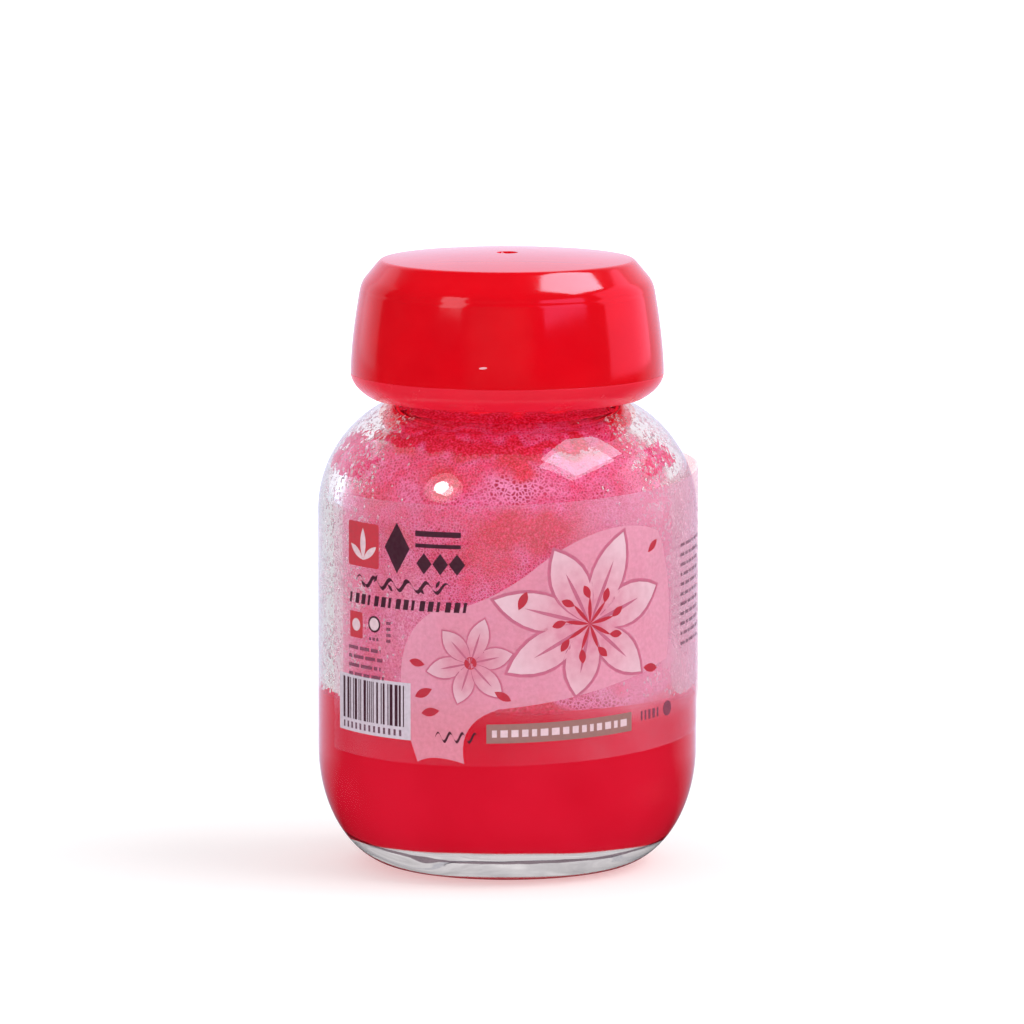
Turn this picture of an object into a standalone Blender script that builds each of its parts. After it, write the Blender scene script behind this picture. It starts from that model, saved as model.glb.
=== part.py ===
"""Nail polish remover jar: a glass jar that holds a sponge and remover, closed by a two-part screw cap.

The jar stands on the ground at the origin, with its axis along Z. Every length is in metres. An outline
is a list of (radius, height) points, which is turned about the axis. Its first and last points lie on it.
"""

import math

import bmesh
import bpy
from mathutils import Matrix

# Steps and counts
turn_steps = 56
heel_steps = 8
shoulder_steps = 7
inner_curve_steps = 5
small_round_steps = 2
dome_steps = 3
skirt_steps = 5
rim_steps = 5
label_steps = 44
spline_count = 24
drive_lug_count = 4

# Gaps between pieces that touch on the real object
seat_gap = 0.0003
label_gap = 0.00015
boolean_overlap = 0.0005
merge_distance = 0.000005

# Glass jar, outside
jar_radius = 0.0240
heel_height = 0.0150
heel_depth = 0.0103
bearing_width = 0.0014
push_up_height = 0.0014
straight_wall_height = 0.0302
shoulder_radius = 0.0152
neck_radius = 0.0142
neck_height = 0.0126
neck_root_fillet = 0.0008
lip_round = 0.0007
transfer_bead_depth = 0.0008
transfer_bead_half_height = 0.0008
transfer_bead_lift = 0.0024

# Glass jar, inside
side_wall = 0.0028
neck_wall = 0.0020
floor_thickness = 0.0040
floor_crown = 0.0008
inner_heel_depth = 0.0070
inner_heel_height = 0.0090
bore_fillet = 0.0012

# Screw thread, which leaves room between the neck and the cap's sleeve
thread_depth = 0.0009
thread_clearance = 0.0003

# Sealing disc in the cap
liner_thickness = 0.0012

# Inner cap: threaded sleeve, top plate and the rounded rim that shows below the shell
sleeve_wall = 0.0012
plate_thickness = 0.0014
cap_shoulder_clearance = 0.00023
rim_height = 0.00306
rim_foot_width = 0.00196
rim_handle_in = 0.00016
rim_handle_up = 0.00130
foot_round = 0.0004
locating_ring_height = 0.0016
spline_width = 0.0009
spline_setback = 0.0001
spline_top_share = 0.4

# Outer cap shell
shell_wall = 0.0015
skirt_space = 0.00037
skirt_flare = 0.00136
skirt_bow_share = 1.6
chamfer_width = 0.00237
chamfer_height = 0.00285
crown_height = 0.00086
crown_edge_round = 0.0005
skirt_top_round = 0.0009
gate_mark_radius = 0.00125
gate_mark_slope = 0.00015
gate_mark_depth = 0.0003
drive_lug_drop = 0.0006

# Sponge
sponge_clearance = 0.0003
sponge_shelf_drop = 0.0044
sponge_shelf_rise = 0.0012
sponge_collar_height = 0.0015
sponge_brim_round = 0.0008
finger_hole_radius = 0.0075
finger_hole_mouth_round = 0.0012
sponge_floor_thickness = 0.0043

# Remover
remover_fill_height = 0.0177

# Wrap-around label
label_height = 0.0328
label_thickness = 0.00015
label_foot = 0.0009
label_tilt = 0.0015
label_low_deg = -25
label_start_deg = -64
label_wrap_deg = 264

# Heights and radii that follow from the sizes above
shoulder_start = heel_height + straight_wall_height
shoulder_centre = jar_radius - shoulder_radius
neck_root = shoulder_start + math.sqrt(shoulder_radius**2 - (neck_radius - shoulder_centre) ** 2)
jar_rim = neck_root + neck_height
bore_radius = neck_radius - neck_wall
inner_radius = jar_radius - side_wall
inner_shoulder_radius = shoulder_radius - side_wall
liner_bottom = jar_rim + seat_gap
plate_bottom = liner_bottom + liner_thickness + seat_gap
crown_edge = plate_bottom + plate_thickness + seat_gap + shell_wall
sleeve_inner = neck_radius + thread_depth + thread_clearance
sleeve_outer = sleeve_inner + sleeve_wall
skirt_top_radius = sleeve_outer + skirt_space + shell_wall
skirt_top = crown_edge - chamfer_height
crown_radius = skirt_top_radius - chamfer_width
crease_radius = skirt_top_radius + skirt_flare
cap_foot = neck_root + cap_shoulder_clearance
crease = cap_foot + rim_height
flange_top = crease - seat_gap
ring_top = flange_top + locating_ring_height
remover_level = floor_thickness + remover_fill_height
sponge_bottom = remover_level + seat_gap
sponge_shelf = neck_root - sponge_shelf_drop
sponge_top = neck_root + sponge_collar_height


def arc(centre, radii, start_deg, end_deg, steps):
    """Points on a circle or an ellipse between two angles, measured from +radius towards +height."""
    points = []
    for step in range(steps + 1):
        angle = math.radians(start_deg + (end_deg - start_deg) * step / steps)
        points.append((centre[0] + radii[0] * math.cos(angle), centre[1] + radii[1] * math.sin(angle)))
    return points


def bow(start, handle, end, steps):
    """Points on a curve from start to end that leaves each of them towards the handle."""
    points = []
    for step in range(steps + 1):
        t = step / steps
        parts = ((1 - t) ** 2, start), (2 * t * (1 - t), handle), (t**2, end)
        points.append(tuple(sum(weight * point[axis] for weight, point in parts) for axis in (0, 1)))
    return points


def rounded_corner(before, corner, after, reach, steps):
    """The corner with its point replaced by a bow that starts and ends this far from it."""
    ends = []
    for other in (before, after):
        length = math.dist(corner, other)
        share = min(reach / length, 0.5)
        ends.append(tuple(c + (o - c) * share for c, o in zip(corner, other)))
    return bow(ends[0], corner, ends[1], steps)


def inset_corner(before, corner, after, depth):
    """Where the two edges at this corner meet once both have moved to the right of the way they run."""
    edges = []
    for start, end in ((before, corner), (corner, after)):
        length = math.dist(start, end)
        along = ((end[0] - start[0]) / length, (end[1] - start[1]) / length)
        edges.append((start[0] + along[1] * depth, start[1] - along[0] * depth, *along))
    (ar, az, adr, adz), (br, bz, bdr, bdz) = edges
    reach = ((br - ar) * bdz - (bz - az) * bdr) / (adr * bdz - adz * bdr)
    return (ar + adr * reach, az + adz * reach)


def neck_blend(radius, arc_radius, fillet):
    """A fillet between the shoulder's arc and the upright wall at this radius: where it starts on the arc,
    and its points, from the arc up to the wall."""
    centre_radius = radius + fillet
    across = centre_radius - shoulder_centre
    reach = arc_radius + fillet
    rise = math.sqrt(reach**2 - across**2)
    centre = (centre_radius, shoulder_start + rise)
    leave_deg = math.degrees(math.atan2(rise, across))
    points = arc(centre, (fillet, fillet), 180 + leave_deg, 180, small_round_steps)
    return leave_deg, points


def shoulder(radius, arc_radius, fillet, steps):
    """The shoulder from the straight wall up to the neck, with its fillet."""
    leave_deg, blend = neck_blend(radius, arc_radius, fillet)
    curve = arc((shoulder_centre, shoulder_start), (arc_radius, arc_radius), 0, leave_deg, steps)
    return curve[:-1] + blend


def inner_heel(inset):
    """The inside of the jar from its straight wall down to the middle of its floor, moved in by this much."""
    centre = (inner_radius - inner_heel_depth, floor_thickness + inner_heel_height)
    radii = (inner_heel_depth - inset, inner_heel_height - inset)
    points = arc(centre, radii, 0, -90, inner_curve_steps)
    floor_edge = points[-1]
    for step in range(1, dome_steps + 1):
        share = 1 - step / dome_steps
        points.append((floor_edge[0] * share, floor_edge[1] + floor_crown * (1 - share**2)))
    return points


def skirt_radius_at(height):
    """The shell's outer radius at this height, on the skirt that flares down to the crease."""
    share = (skirt_top - height) / (skirt_top - crease)
    return skirt_top_radius + skirt_flare * (1 - max(1 - share, 0) ** skirt_bow_share)


def jar_outline():
    foot_radius = jar_radius - heel_depth
    push_up_radius = foot_radius - bearing_width
    points = []
    for step in range(dome_steps):
        share = step / dome_steps
        points.append((push_up_radius * share, push_up_height * (1 - share**2)))
    points.append((push_up_radius, 0))
    points += arc((foot_radius, heel_height), (heel_depth, heel_height), -90, 0, heel_steps)
    points += shoulder(neck_radius, shoulder_radius, neck_root_fillet, shoulder_steps)
    bead = (neck_radius, neck_root + transfer_bead_lift)
    points += arc(bead, (transfer_bead_depth, transfer_bead_half_height), -90, 90, 2 * small_round_steps)
    lip_radii = (lip_round, lip_round)
    points += arc((neck_radius - lip_round, jar_rim - lip_round), lip_radii, 0, 90, small_round_steps)
    points += arc((bore_radius + lip_round, jar_rim - lip_round), lip_radii, 90, 180, small_round_steps)
    points += shoulder(bore_radius, inner_shoulder_radius, bore_fillet, inner_curve_steps)[::-1]
    return points + inner_heel(0)


def shell_outline():
    floor = crown_edge + crown_height - gate_mark_depth
    points = [(0, floor), (gate_mark_radius, floor)]
    first = gate_mark_radius + gate_mark_slope
    for step in range(dome_steps):
        radius = first + (crown_radius - crown_edge_round - first) * step / dome_steps
        points.append((radius, crown_edge + crown_height * (1 - (radius / crown_radius) ** 2)))
    edge = (crown_radius, crown_edge)
    skirt_corner = (skirt_top_radius, skirt_top)
    skirt = []
    for step in range(skirt_steps + 1):
        height = skirt_top + (crease - skirt_top) * step / skirt_steps
        skirt.append((skirt_radius_at(height), height))
    points += rounded_corner(points[-1], edge, skirt_corner, crown_edge_round, small_round_steps)
    points += rounded_corner(edge, skirt_corner, skirt[1], skirt_top_round, small_round_steps)
    points += skirt[1:]
    inner_skirt = [(radius - shell_wall, height) for radius, height in skirt[1:]]
    points += inner_skirt[::-1]
    below = (skirt_top_radius, crease)
    points.append(inset_corner(edge, skirt_corner, below, shell_wall))
    points.append(inset_corner((0, crown_edge), edge, skirt_corner, shell_wall))
    points.append((0, crown_edge - shell_wall))
    return points


def insert_outline():
    edge = (crown_radius, crown_edge)
    skirt_corner = (skirt_top_radius, skirt_top)
    depth = shell_wall + seat_gap
    plate_corner = inset_corner((0, crown_edge), edge, skirt_corner, depth)
    sleeve_top = inset_corner(edge, skirt_corner, (skirt_top_radius, crease), depth)
    ring_radius = skirt_radius_at(ring_top) - depth
    rim_radius = crease_radius
    foot_radius = sleeve_inner + rim_foot_width
    handle = (rim_radius - rim_handle_in, cap_foot + rim_handle_up)
    points = [(0, plate_corner[1]), plate_corner, (sleeve_outer, sleeve_top[1])]
    points += [(sleeve_outer, ring_top), (ring_radius, ring_top), (ring_radius, flange_top)]
    points += bow((rim_radius, flange_top), handle, (foot_radius, cap_foot), rim_steps)
    points += [(sleeve_inner + foot_round, cap_foot), (sleeve_inner, cap_foot + foot_round)]
    points += [(sleeve_inner, plate_bottom), (0, plate_bottom)]
    return points


def sponge_outline():
    """The foam follows the jar's shoulder, steps in over a sloping shelf and fills the neck with a collar."""
    hole_centre = (0, sponge_bottom + sponge_floor_thickness + finger_hole_radius)
    hole_radii = (finger_hole_radius, finger_hole_radius)
    arc_radius = inner_shoulder_radius - sponge_clearance
    side_radius = inner_radius - sponge_clearance
    collar_radius = bore_radius - sponge_clearance
    mouth = (finger_hole_radius, sponge_top)
    brim = (collar_radius, sponge_top)
    collar_foot = (collar_radius, sponge_shelf + sponge_shelf_rise)
    rise_deg = math.degrees(math.asin((sponge_shelf - shoulder_start) / arc_radius))
    points = arc(hole_centre, hole_radii, -90, 0, inner_curve_steps)
    points += rounded_corner(points[-1], mouth, brim, finger_hole_mouth_round, small_round_steps)
    points += rounded_corner(mouth, brim, collar_foot, sponge_brim_round, small_round_steps)
    points += [collar_foot]
    points += arc((shoulder_centre, shoulder_start), (arc_radius, arc_radius), rise_deg, 0, inner_curve_steps)
    points += [(side_radius, sponge_bottom), (0, sponge_bottom)]
    return points


def remover_outline():
    radius = inner_radius - seat_gap
    return [(0, remover_level), (radius, remover_level)] + inner_heel(seat_gap)


def liner_outline():
    radius = sleeve_inner - seat_gap
    top = liner_bottom + liner_thickness
    return [(0, top), (radius, top), (radius, liner_bottom), (0, liner_bottom)]


def plain_material(name, colour, roughness, transmission=0.0, index=1.45):
    material = bpy.data.materials.new(name)
    material.use_nodes = True
    shader = material.node_tree.nodes["Principled BSDF"]
    shader.inputs["Base Color"].default_value = (*colour, 1)
    shader.inputs["Roughness"].default_value = roughness
    shader.inputs["Metallic"].default_value = 0.0
    shader.inputs["Transmission Weight"].default_value = transmission
    shader.inputs["IOR"].default_value = index
    material.diffuse_color = (*colour, 1)
    return material


def placed(name, mesh, material, parent=None):
    """A new object of this mesh, which is drawn in the jar's frame. Its origin is its parent's."""
    sharp_edge = math.radians(32)
    mesh.shade_smooth()
    mesh.set_sharp_from_angle(angle=sharp_edge)
    mesh.materials.append(material)
    obj = bpy.data.objects.new(name, mesh)
    bpy.context.scene.collection.objects.link(obj)
    if parent:
        mesh.transform(Matrix.Translation(-parent.location))
        obj.parent = parent
    return obj


def mesh_from(bm, name):
    bmesh.ops.recalc_face_normals(bm, faces=bm.faces)
    mesh = bpy.data.meshes.new(name)
    bm.to_mesh(mesh)
    bm.free()
    return mesh


def turned(name, outline, material, parent=None):
    """A solid of revolution about Z."""
    tidy = [outline[0]]
    for point in outline[1:]:
        if math.dist(point, tidy[-1]) > merge_distance:
            tidy.append(point)
    bm = bmesh.new()
    corners = [bm.verts.new((radius, 0, height)) for radius, height in tidy]
    edges = [bm.edges.new(pair) for pair in zip(corners, corners[1:])]
    profile = corners + edges
    middle = (0, 0, 0)
    up = (0, 0, 1)
    bmesh.ops.spin(bm, geom=profile, cent=middle, axis=up, angle=math.tau, steps=turn_steps, use_merge=True)
    bmesh.ops.remove_doubles(bm, verts=bm.verts, dist=merge_distance)
    return placed(name, mesh_from(bm, name), material, parent)


def radial_block(outline, width, turn):
    """A block of this width whose (radius, height) outline stands on a radius, turned about the axis."""
    bm = bmesh.new()
    sides = [[bm.verts.new((r, y, z)) for r, z in outline] for y in (-width / 2, width / 2)]
    for side in sides:
        bm.faces.new(side)
    for near, far in zip(range(len(outline)), [*range(1, len(outline)), 0]):
        bm.faces.new((sides[0][near], sides[0][far], sides[1][far], sides[1][near]))
    bmesh.ops.rotate(bm, verts=bm.verts, cent=(0, 0, 0), matrix=Matrix.Rotation(turn, 3, "Z"))
    return bm


def join_blocks(target, outline, width, turns, parent):
    """Fuses one radial block for each turn into the target."""
    bm = bmesh.new()
    for turn in turns:
        block = radial_block(outline, width, turn)
        mesh = mesh_from(block, "block")
        bm.from_mesh(mesh)
        bpy.data.meshes.remove(mesh)
    blocks = placed(target.name + "_blocks", mesh_from(bm, "blocks"), target.data.materials[0], parent)
    blocks.hide_render = True
    blocks.display_type = "WIRE"
    join = target.modifiers.new("join_blocks", "BOOLEAN")
    join.operation = "UNION"
    join.solver = "EXACT"
    join.object = blocks


def wrapped_label(name, material):
    """A strip round the jar's wall, put on a little askew: its lowest point is left of the front."""
    inner = jar_radius + label_gap
    outer = inner + label_thickness
    foot = heel_height + label_foot
    bm = bmesh.new()
    rings = []
    for step in range(label_steps + 1):
        turn_deg = label_start_deg + label_wrap_deg * step / label_steps
        angle = math.radians(turn_deg - 90)
        low = foot + label_tilt * (1 - math.cos(math.radians(turn_deg - label_low_deg)))
        high = low + label_height
        corners = ((inner, low), (outer, low), (outer, high), (inner, high))
        rings.append([bm.verts.new((r * math.cos(angle), r * math.sin(angle), z)) for r, z in corners])
    for ring, following in zip(rings, rings[1:]):
        for near, far in ((0, 1), (1, 2), (2, 3), (3, 0)):
            bm.faces.new((ring[near], ring[far], following[far], following[near]))
    bm.faces.new(rings[0])
    bm.faces.new(rings[-1])
    return placed(name, mesh_from(bm, name), material)


def spline_turns():
    return [math.tau * count / spline_count for count in range(spline_count)]


def drive_lug_turns():
    half_pitch = math.pi / spline_count
    return [math.tau * count / drive_lug_count + half_pitch for count in range(drive_lug_count)]


def spline_outline():
    """A low rib on the sleeve, which stands on the locating ring and follows the shell's flare."""
    top = skirt_top + (crease - skirt_top) * spline_top_share
    foot = ring_top - boolean_overlap
    root = sleeve_outer - boolean_overlap
    room = shell_wall + seat_gap + spline_setback
    ring_face = skirt_radius_at(ring_top) - room
    top_face = skirt_radius_at(top) - room
    return [(root, foot), (ring_face, foot), (ring_face, ring_top), (top_face, top), (root, top)]


def drive_lug_outline():
    """A key inside the shell, which drops between two ribs and turns the inner cap with the shell."""
    top = skirt_top + (crease - skirt_top) * spline_top_share - drive_lug_drop
    foot = ring_top + seat_gap
    face = sleeve_outer + seat_gap
    root_inset = shell_wall / 2
    return [
        (face, foot),
        (skirt_radius_at(foot) - root_inset, foot),
        (skirt_radius_at(top) - root_inset, top),
        (face, top),
    ]


def make_parts():
    glass = plain_material("clear_glass", (0.93, 0.95, 0.95), 0.03, transmission=1.0, index=1.5)
    shell_red = plain_material("gloss_red_plastic", (0.74, 0.007, 0.018), 0.16)
    insert_red = plain_material("satin_red_plastic", (0.78, 0.02, 0.045), 0.3)
    foam_white = plain_material("liner_foam", (0.86, 0.86, 0.84), 0.7)
    sponge_pink = plain_material("sponge_foam", (0.80, 0.08, 0.19), 0.85)
    remover_red = plain_material("remover", (0.69, 0.01, 0.026), 0.1)
    film = plain_material("label_film", (0.90, 0.62, 0.74), 0.35)

    turned("glass_jar", jar_outline(), glass)
    turned("remover_liquid", remover_outline(), remover_red)
    turned("sponge", sponge_outline(), sponge_pink)
    wrapped_label("label", film)

    lift_axis = bpy.data.objects.new("cap_lift_axis", None)
    turn_axis = bpy.data.objects.new("cap_turn_axis", None)
    for axis in (lift_axis, turn_axis):
        axis.location = (0, 0, jar_rim)
        bpy.context.scene.collection.objects.link(axis)

    turned("cap_liner", liner_outline(), foam_white, lift_axis)
    insert = turned("cap_insert", insert_outline(), insert_red, turn_axis)
    join_blocks(insert, spline_outline(), spline_width, spline_turns(), turn_axis)
    shell = turned("cap_shell", shell_outline(), shell_red, turn_axis)
    slot = 2 * (sleeve_outer + seat_gap) * math.sin(math.pi / spline_count) - spline_width
    join_blocks(shell, drive_lug_outline(), slot - 2 * seat_gap, drive_lug_turns(), turn_axis)


for old in list(bpy.data.objects):
    bpy.data.objects.remove(old)
make_parts()
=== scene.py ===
"""Nail polish remover jar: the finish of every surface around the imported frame, with camera and light.

Lengths are in metres. Z is up along the jar's axis, and -Y is the front, where the camera stands.
Turns round the jar are measured from the front, in degrees, and grow towards +X.
"""

import math
import random

import bmesh
import bpy
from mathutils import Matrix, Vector, noise


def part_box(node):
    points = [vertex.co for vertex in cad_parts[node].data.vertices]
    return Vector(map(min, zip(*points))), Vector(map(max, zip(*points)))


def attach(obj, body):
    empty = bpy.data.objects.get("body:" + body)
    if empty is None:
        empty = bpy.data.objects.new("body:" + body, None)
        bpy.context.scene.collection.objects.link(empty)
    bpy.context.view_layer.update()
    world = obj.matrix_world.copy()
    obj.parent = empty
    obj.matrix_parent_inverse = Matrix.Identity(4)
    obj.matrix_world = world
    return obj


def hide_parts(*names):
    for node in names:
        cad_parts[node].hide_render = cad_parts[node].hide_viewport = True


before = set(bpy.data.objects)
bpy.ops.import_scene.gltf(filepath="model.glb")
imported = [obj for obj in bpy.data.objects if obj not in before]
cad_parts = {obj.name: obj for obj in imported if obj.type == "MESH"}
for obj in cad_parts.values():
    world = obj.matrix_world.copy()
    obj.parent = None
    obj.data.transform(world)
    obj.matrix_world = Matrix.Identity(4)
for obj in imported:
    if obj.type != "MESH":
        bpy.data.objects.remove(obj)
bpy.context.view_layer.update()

MM = 0.001
HAIR = 0.01 * MM
FULL_TURN = math.tau
QUARTER_TURN = FULL_TURN / 4
WHITE = (1.0, 1.0, 1.0)
LILAC = (0.80, 0.90, 1.0)
CLEAR = (0.975, 0.985, 0.985)

# Columns round each turned piece, and how far apart the points of its outline lie
HARD_COLUMNS = 224
REMOVER_COLUMNS = 160
SPONGE_COLUMNS = 448
WALL_GAP = 2 * MM
THREAD_GAP = 0.16 * MM
SHARP_EDGE = math.radians(40)

# Sizes read from the frame
_, jar_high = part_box("glass_jar")
shell_low, shell_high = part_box("cap_shell")
insert_low, insert_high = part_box("cap_insert")
sponge_low, sponge_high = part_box("sponge")
_, remover_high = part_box("remover_liquid")

# Glass jar
JAR_RADIUS = jar_high.x
JAR_RIM = jar_high.z
SIDE_WALL = 2.8 * MM
NECK_WALL = 2.0 * MM
HEEL_HEIGHT = 15 * MM
HEEL_DEPTH = 10.3 * MM
BEARING_WIDTH = 1.4 * MM
PUSH_UP = 1.4 * MM
PUSH_UP_STEPS = 8
BASE_TOP = 7 * MM
SHOULDER_START = 45.2 * MM
SHOULDER_RADIUS = 15.2 * MM
SHOULDER_CENTRE = JAR_RADIUS - SHOULDER_RADIUS
NECK_RADIUS = 14.2 * MM
NECK_ROOT = SHOULDER_START + math.sqrt(SHOULDER_RADIUS**2 - (NECK_RADIUS - SHOULDER_CENTRE) ** 2)
ROOT_FILLET = 0.8 * MM
BORE_RADIUS = NECK_RADIUS - NECK_WALL
BORE_FILLET = 1.2 * MM
LIP_ROUND = 0.7 * MM
BEAD_HEIGHT = NECK_ROOT + 2.4 * MM
BEAD_ROUND = 0.8 * MM
INNER_RADIUS = JAR_RADIUS - SIDE_WALL
INNER_SHOULDER = SHOULDER_RADIUS - SIDE_WALL
FLOOR = 4.4 * MM
FLOOR_CROWN = 0.3 * MM
INNER_HEEL_DEPTH = 3.0 * MM
INNER_HEEL_HEIGHT = 6.0 * MM
WET_TOP = sponge_low.z + 0.5 * MM
REMOVER_INSET = 0.14 * MM
GLASS_INDEX = 1.5
REMOVER_INDEX = 1.36
RIPPLE_FADE = 6 * MM
GLASS_RIPPLE = 0.05 * MM
HEEL_RIPPLE = 0.35 * MM
RIPPLE_LENGTH = 9 * MM
# A painted line of shade round the heel, standing in for the contact shadow the glass shows near its foot:
# its height, where it rises at the left and right, and a thicker blob
PAINTED_SHADE_HEIGHTS = (3.0 * MM, 3.25 * MM)
PAINTED_SHADE_RISES = ((-21 * MM, -11 * MM, 1.4 * MM, 0), (13 * MM, 21 * MM, 0, 0.8 * MM))
PAINTED_SHADE_HALVES = (0.13 * MM, 0.24 * MM)
PAINTED_SHADE_BLOB = (-9.8 * MM, -15.8 * MM, 2.7 * MM)
PAINTED_SHADE_BLOB_HALF = 0.46 * MM
PAINTED_SHADE_COLOUR = (0.06, 0.01, 0.035)

# Screw thread on the neck and in the cap
THREAD_PITCH = 4.2 * MM
THREAD_DEPTH = 0.88 * MM
THREAD_FOOT_HALF = 0.95 * MM
THREAD_TIP_HALF = 0.30 * MM
THREAD_LOW = BEAD_HEIGHT + 2.0 * MM
THREAD_TURNS = 1.25
THREAD_RUN_IN = 0.08

# Cap
SLEEVE_INNER = NECK_RADIUS + 1.2 * MM
SLEEVE_WALL = 1.2 * MM
SHELL_WALL = 1.5 * MM
SEAT_GAP = 0.3 * MM
SKIRT_TOP_RADIUS = SLEEVE_INNER + SLEEVE_WALL + 0.37 * MM + SHELL_WALL
SKIRT_FLARE = 1.36 * MM
SKIRT_BOW = 1.6
CROWN_RADIUS = SKIRT_TOP_RADIUS - 2.37 * MM
CROWN_HEIGHT = 0.86 * MM
CROWN_EDGE = shell_high.z - CROWN_HEIGHT
SKIRT_TOP = CROWN_EDGE - 2.85 * MM
CREASE = shell_low.z
GATE_RADIUS = 1.25 * MM
GATE_DEPTH = 0.3 * MM
GATE_ROUND = 0.05 * MM
CROWN_STEPS = 14
SKIRT_STEPS = 24
CROWN_ROUND = 0.55 * MM
SKIRT_ROUND = 0.95 * MM
RIM_ROUND = 0.06 * MM
CAP_THREAD_SHARE = 0.9
FLECK_TURN_DEG = -8.8
FLECK_HEIGHT = 65.4 * MM
FLECK_HALVES = (0.52 * MM, 0.06 * MM, 0.14 * MM)
CAP_FOOT = insert_low.z
RING_HEIGHT = 1.6 * MM
RIM_FOOT_RADIUS = SLEEVE_INNER + 1.96 * MM
PLATE_TOP = insert_high.z
PLATE_BOTTOM = PLATE_TOP - 1.4 * MM

# Sponge
SPONGE_RADIUS = sponge_high.x
SPONGE_HOLE_RADIUS = 7.5 * MM
SPONGE_FLOOR = 4.3 * MM
SPONGE_CREASE_DEG = 61
SPONGE_CREASE_DEPTH = 0.4 * MM
SPONGE_CREASE_ROUND = 0.6 * MM
SPONGE_BRIM_ROUND = 0.8 * MM
SPONGE_MOUTH_ROUND = 1.2 * MM
SPONGE_SEAT_RADIUS = 13.6 * MM
SPONGE_TOP = NECK_ROOT + 1.5 * MM
WET_CONTACT = 0.34 * MM
CONTACT_SPECKLE = 0.6
PATCH_WANDER_DEG = 5
PATCH_WANDER = 1.6 * MM
CELL = 0.50 * MM
CELL_DEPTH = 0.16 * MM
LUMP = 2.6 * MM
LUMP_DEPTH = 0.10 * MM

# Label film
LABEL_RADIUS = JAR_RADIUS + 0.16 * MM
FILM_THICKNESS = 0.06 * MM
LABEL_FOOT = HEEL_HEIGHT + 0.9 * MM
LABEL_HEIGHT = 32.8 * MM
LABEL_TILT = 1.5 * MM
LABEL_LOW_DEG = -25
LABEL_START_DEG = -64
LABEL_END_DEG = 200
INK_THICKNESS = 0.005 * MM
INK_STEP = 0.009 * MM
INK_STRIP = 1.0 * MM
# The parts of each printed petal: share of its length and width, and how many layers it lies higher
PETAL_PARTS = (("rim", 1, 1, 0), ("blade", 0.955, 0.86, 0.5), ("vein", 0.66, 0.09, 1.0))

# Drops on the inside of the glass
DROPLET_COUNT = 15000
DROPLET_SEED = 5
DROPLET_HEIGHTS = (remover_high.z + 1.5 * MM, NECK_ROOT - 3 * MM)
DROPLET_SIZES = (0.06 * MM, 0.20 * MM)
DROPLET_SIDES = 6
DROPLET_SINK = 0.04 * MM
# Few stand in front, from the first turn on, and many from the start of the sides to the back
DROPLET_FIRST_DEG = 34
DROPLET_START_DEG = 48
DROPLET_FADE_DEG = 8
DROPLET_BACK_DEG = 140
DROPLET_FEW = 0.06
DROPLET_BACK = 0.35

# Camera, as fitted to the jar's outline
CAMERA_TARGET = Vector((0.6 * MM, 0, 44.8 * MM))
CAMERA_PIVOT = Vector((0, 0, 38 * MM))
CAMERA_DISTANCE = 1.25
CAMERA_ELEVATION = math.radians(7.846)
CAMERA_LENS = 346.7
CAMERA_SENSOR = 36
CAMERA_REACH = (0.05, 20)
CAMERA_PLACE = CAMERA_PIVOT + CAMERA_DISTANCE * Vector(
    (0, -math.cos(CAMERA_ELEVATION), math.sin(CAMERA_ELEVATION))
)

# Floor, world and lamps
FLOOR_REACH = 1.6
FLOOR_GLOW = 0.30
FLOOR_SHADE_NEAR = 0.35
FLOOR_THROUGH_GLASS = (0.70, 0.90)
FLOOR_TINT = (0.94, 0.88, 0.90)
WORLD_LIFT = 0.9
LAMP_TARGET = Vector((0, 0, 52 * MM))
SPOT_WAY = (-0.607, -0.596, 0.523)

# For each kind of ray: between which depths the world turns bright, how strong it is in front and behind,
# and its tint
WORLD_LOOKS = {
    "Is Diffuse Ray": ((-0.75, 0.2), 0.10, 0.90, WHITE),
    "Is Glossy Ray": ((0.30, 0.97), 0.03, 1.0, (0.92, 0.96, 1.22)),
    "Is Transmission Ray": ((-0.75, 0.2), 0.72, 1.0, (1.0, 0.90, 0.94)),
    "Is Camera Ray": ((-0.75, 0.2), 1.0, 1.0, WHITE),
}


def srgb(red, green, blue):
    """A colour written as 0 to 255, in the linear values that shaders take."""
    values = []
    for value in (red, green, blue):
        share = value / 255
        values.append(share / 12.92 if share <= 0.04045 else ((share + 0.055) / 1.055) ** 2.4)
    return tuple(values)


def polar(radius, turn, height=0):
    """The place this far from the axis and round from the front."""
    return Vector((radius * math.sin(turn), -radius * math.cos(turn), height))


def wander(place, size, shift=0):
    """Smooth noise at this place, from about -1 to 1, with features of this size."""
    return noise.noise(place / size + Vector((shift, 0, 0)))


# Outlines, as (radius, height) points

def arc(centre, radii, start_deg, end_deg, steps):
    """Part of an oval, or of a circle where radii is one number."""
    across, up = radii if isinstance(radii, tuple) else (radii, radii)
    points = []
    for step in range(steps + 1):
        angle = math.radians(start_deg + (end_deg - start_deg) * step / steps)
        points.append((centre[0] + across * math.cos(angle), centre[1] + up * math.sin(angle)))
    return points


def bow(start, handle, end, steps):
    """A curve from start to end that leaves each of them towards the handle."""
    points = []
    for step in range(steps + 1):
        t = step / steps
        shares = ((1 - t) ** 2, start), (2 * t * (1 - t), handle), (t * t, end)
        points.append(tuple(sum(share * point[axis] for share, point in shares) for axis in (0, 1)))
    return points


def rounded(before, corner, after, reach, steps=6):
    """The corner replaced by a bow that starts and ends this far from it."""
    ends = []
    for other in (before, after):
        share = min(reach / math.dist(corner, other), 0.5)
        ends.append(tuple(c + (o - c) * share for c, o in zip(corner, other)))
    return bow(ends[0], corner, ends[1], steps)


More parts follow.
